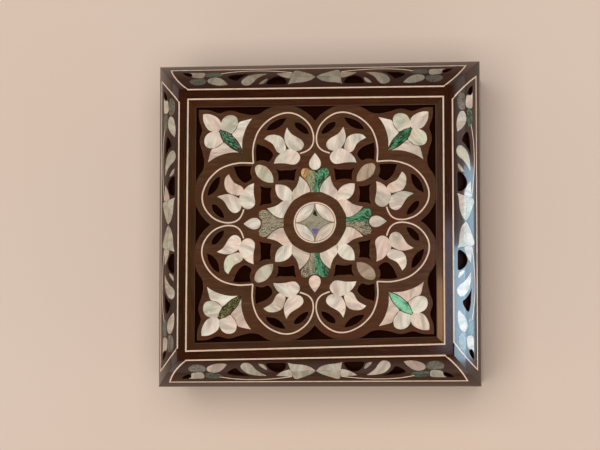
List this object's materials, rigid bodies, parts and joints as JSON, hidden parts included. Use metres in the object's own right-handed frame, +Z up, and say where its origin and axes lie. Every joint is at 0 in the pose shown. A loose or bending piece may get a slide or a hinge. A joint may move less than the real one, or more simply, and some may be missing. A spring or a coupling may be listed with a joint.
{
  "type": "inlaid wooden box",
  "caption": "Square dark wooden box with a hinged lid: pierced top panel inlaid with shell flowers and metal scroll wires, mitred convex border rails, velvet lining.",
  "frame": {"origin": "middle of the underside of the case", "axes": "+Z up, -Y the front with the finger notch, +Y the hinge side, +X to the right seen from the front"},
  "size_m": [0.16, 0.16, 0.0703],
  "materials": {
    "dark_wood": "high-gloss clear lacquer over dark red-brown wood",
    "dark_floor": "satin, very dark stain",
    "mother_of_pearl": "polished nacre, cream white with faint pink and green",
    "tin_wire": "polished flush with the wood",
    "velvet": "short pile velvet",
    "brass": "worn satin brass"
  },
  "bodies": {
    "case": {"case_wall_back": "dark_wood", "case_wall_right": "dark_wood", "case_wall_front": "dark_wood", "case_wall_left": "dark_wood", "base_panel": "dark_floor", "side_inlay_back": "mother_of_pearl", "side_inlay_right": "mother_of_pearl", "side_inlay_front": "mother_of_pearl", "side_inlay_left": "mother_of_pearl", "velvet_floor_pad": "velvet", "velvet_lining_back": "velvet", "velvet_lining_right": "velvet", "velvet_lining_front": "velvet", "velvet_lining_left": "velvet", "hinge_left_case_leaf": "brass", "hinge_left_pin": "brass", "hinge_left_case_screw_a": "brass", "hinge_left_case_screw_b": "brass", "hinge_right_case_leaf": "brass", "hinge_right_pin": "brass", "hinge_right_case_screw_a": "brass", "hinge_right_case_screw_b": "brass"},
    "lid": {"lid_rail_back": "dark_wood", "lid_rail_right": "dark_wood", "lid_rail_front": "dark_wood", "lid_rail_left": "dark_wood", "lid_pierced_panel": "dark_wood", "lid_backing_panel": "dark_floor", "rosette_inlay": "mother_of_pearl", "centre_star_inlay": "mother_of_pearl", "corner_flower_back_left": "mother_of_pearl", "corner_flower_back_right": "mother_of_pearl", "corner_flower_front_right": "mother_of_pearl", "corner_flower_front_left": "mother_of_pearl", "drop_leaf_back_left": "mother_of_pearl", "drop_leaf_back_right": "mother_of_pearl", "drop_leaf_front_right": "mother_of_pearl", "drop_leaf_front_left": "mother_of_pearl", "border_garland_back": "mother_of_pearl", "border_garland_right": "mother_of_pearl", "border_garland_front": "mother_of_pearl", "border_garland_left": "mother_of_pearl", "scroll_wires_back_left": "tin_wire", "scroll_wires_back_right": "tin_wire", "scroll_wires_front_right": "tin_wire", "scroll_wires_front_left": "tin_wire", "border_wire_back": "tin_wire", "border_wire_right": "tin_wire", "border_wire_front": "tin_wire", "border_wire_left": "tin_wire", "crest_wire": "tin_wire", "lid_velvet_pad": "velvet", "hinge_left_lid_leaf": "brass", "hinge_left_lid_screw_a": "brass", "hinge_left_lid_screw_b": "brass", "hinge_right_lid_leaf": "brass", "hinge_right_lid_screw_a": "brass", "hinge_right_lid_screw_b": "brass"}
  },
  "joints": [
    {"name": "lid_hinge", "type": "hinge", "parent": "case", "child": "lid", "pos_m": [0, 0.078, 0.05215], "axis": [-1, 0, 0], "range_deg": [0, 100]}
  ]
}
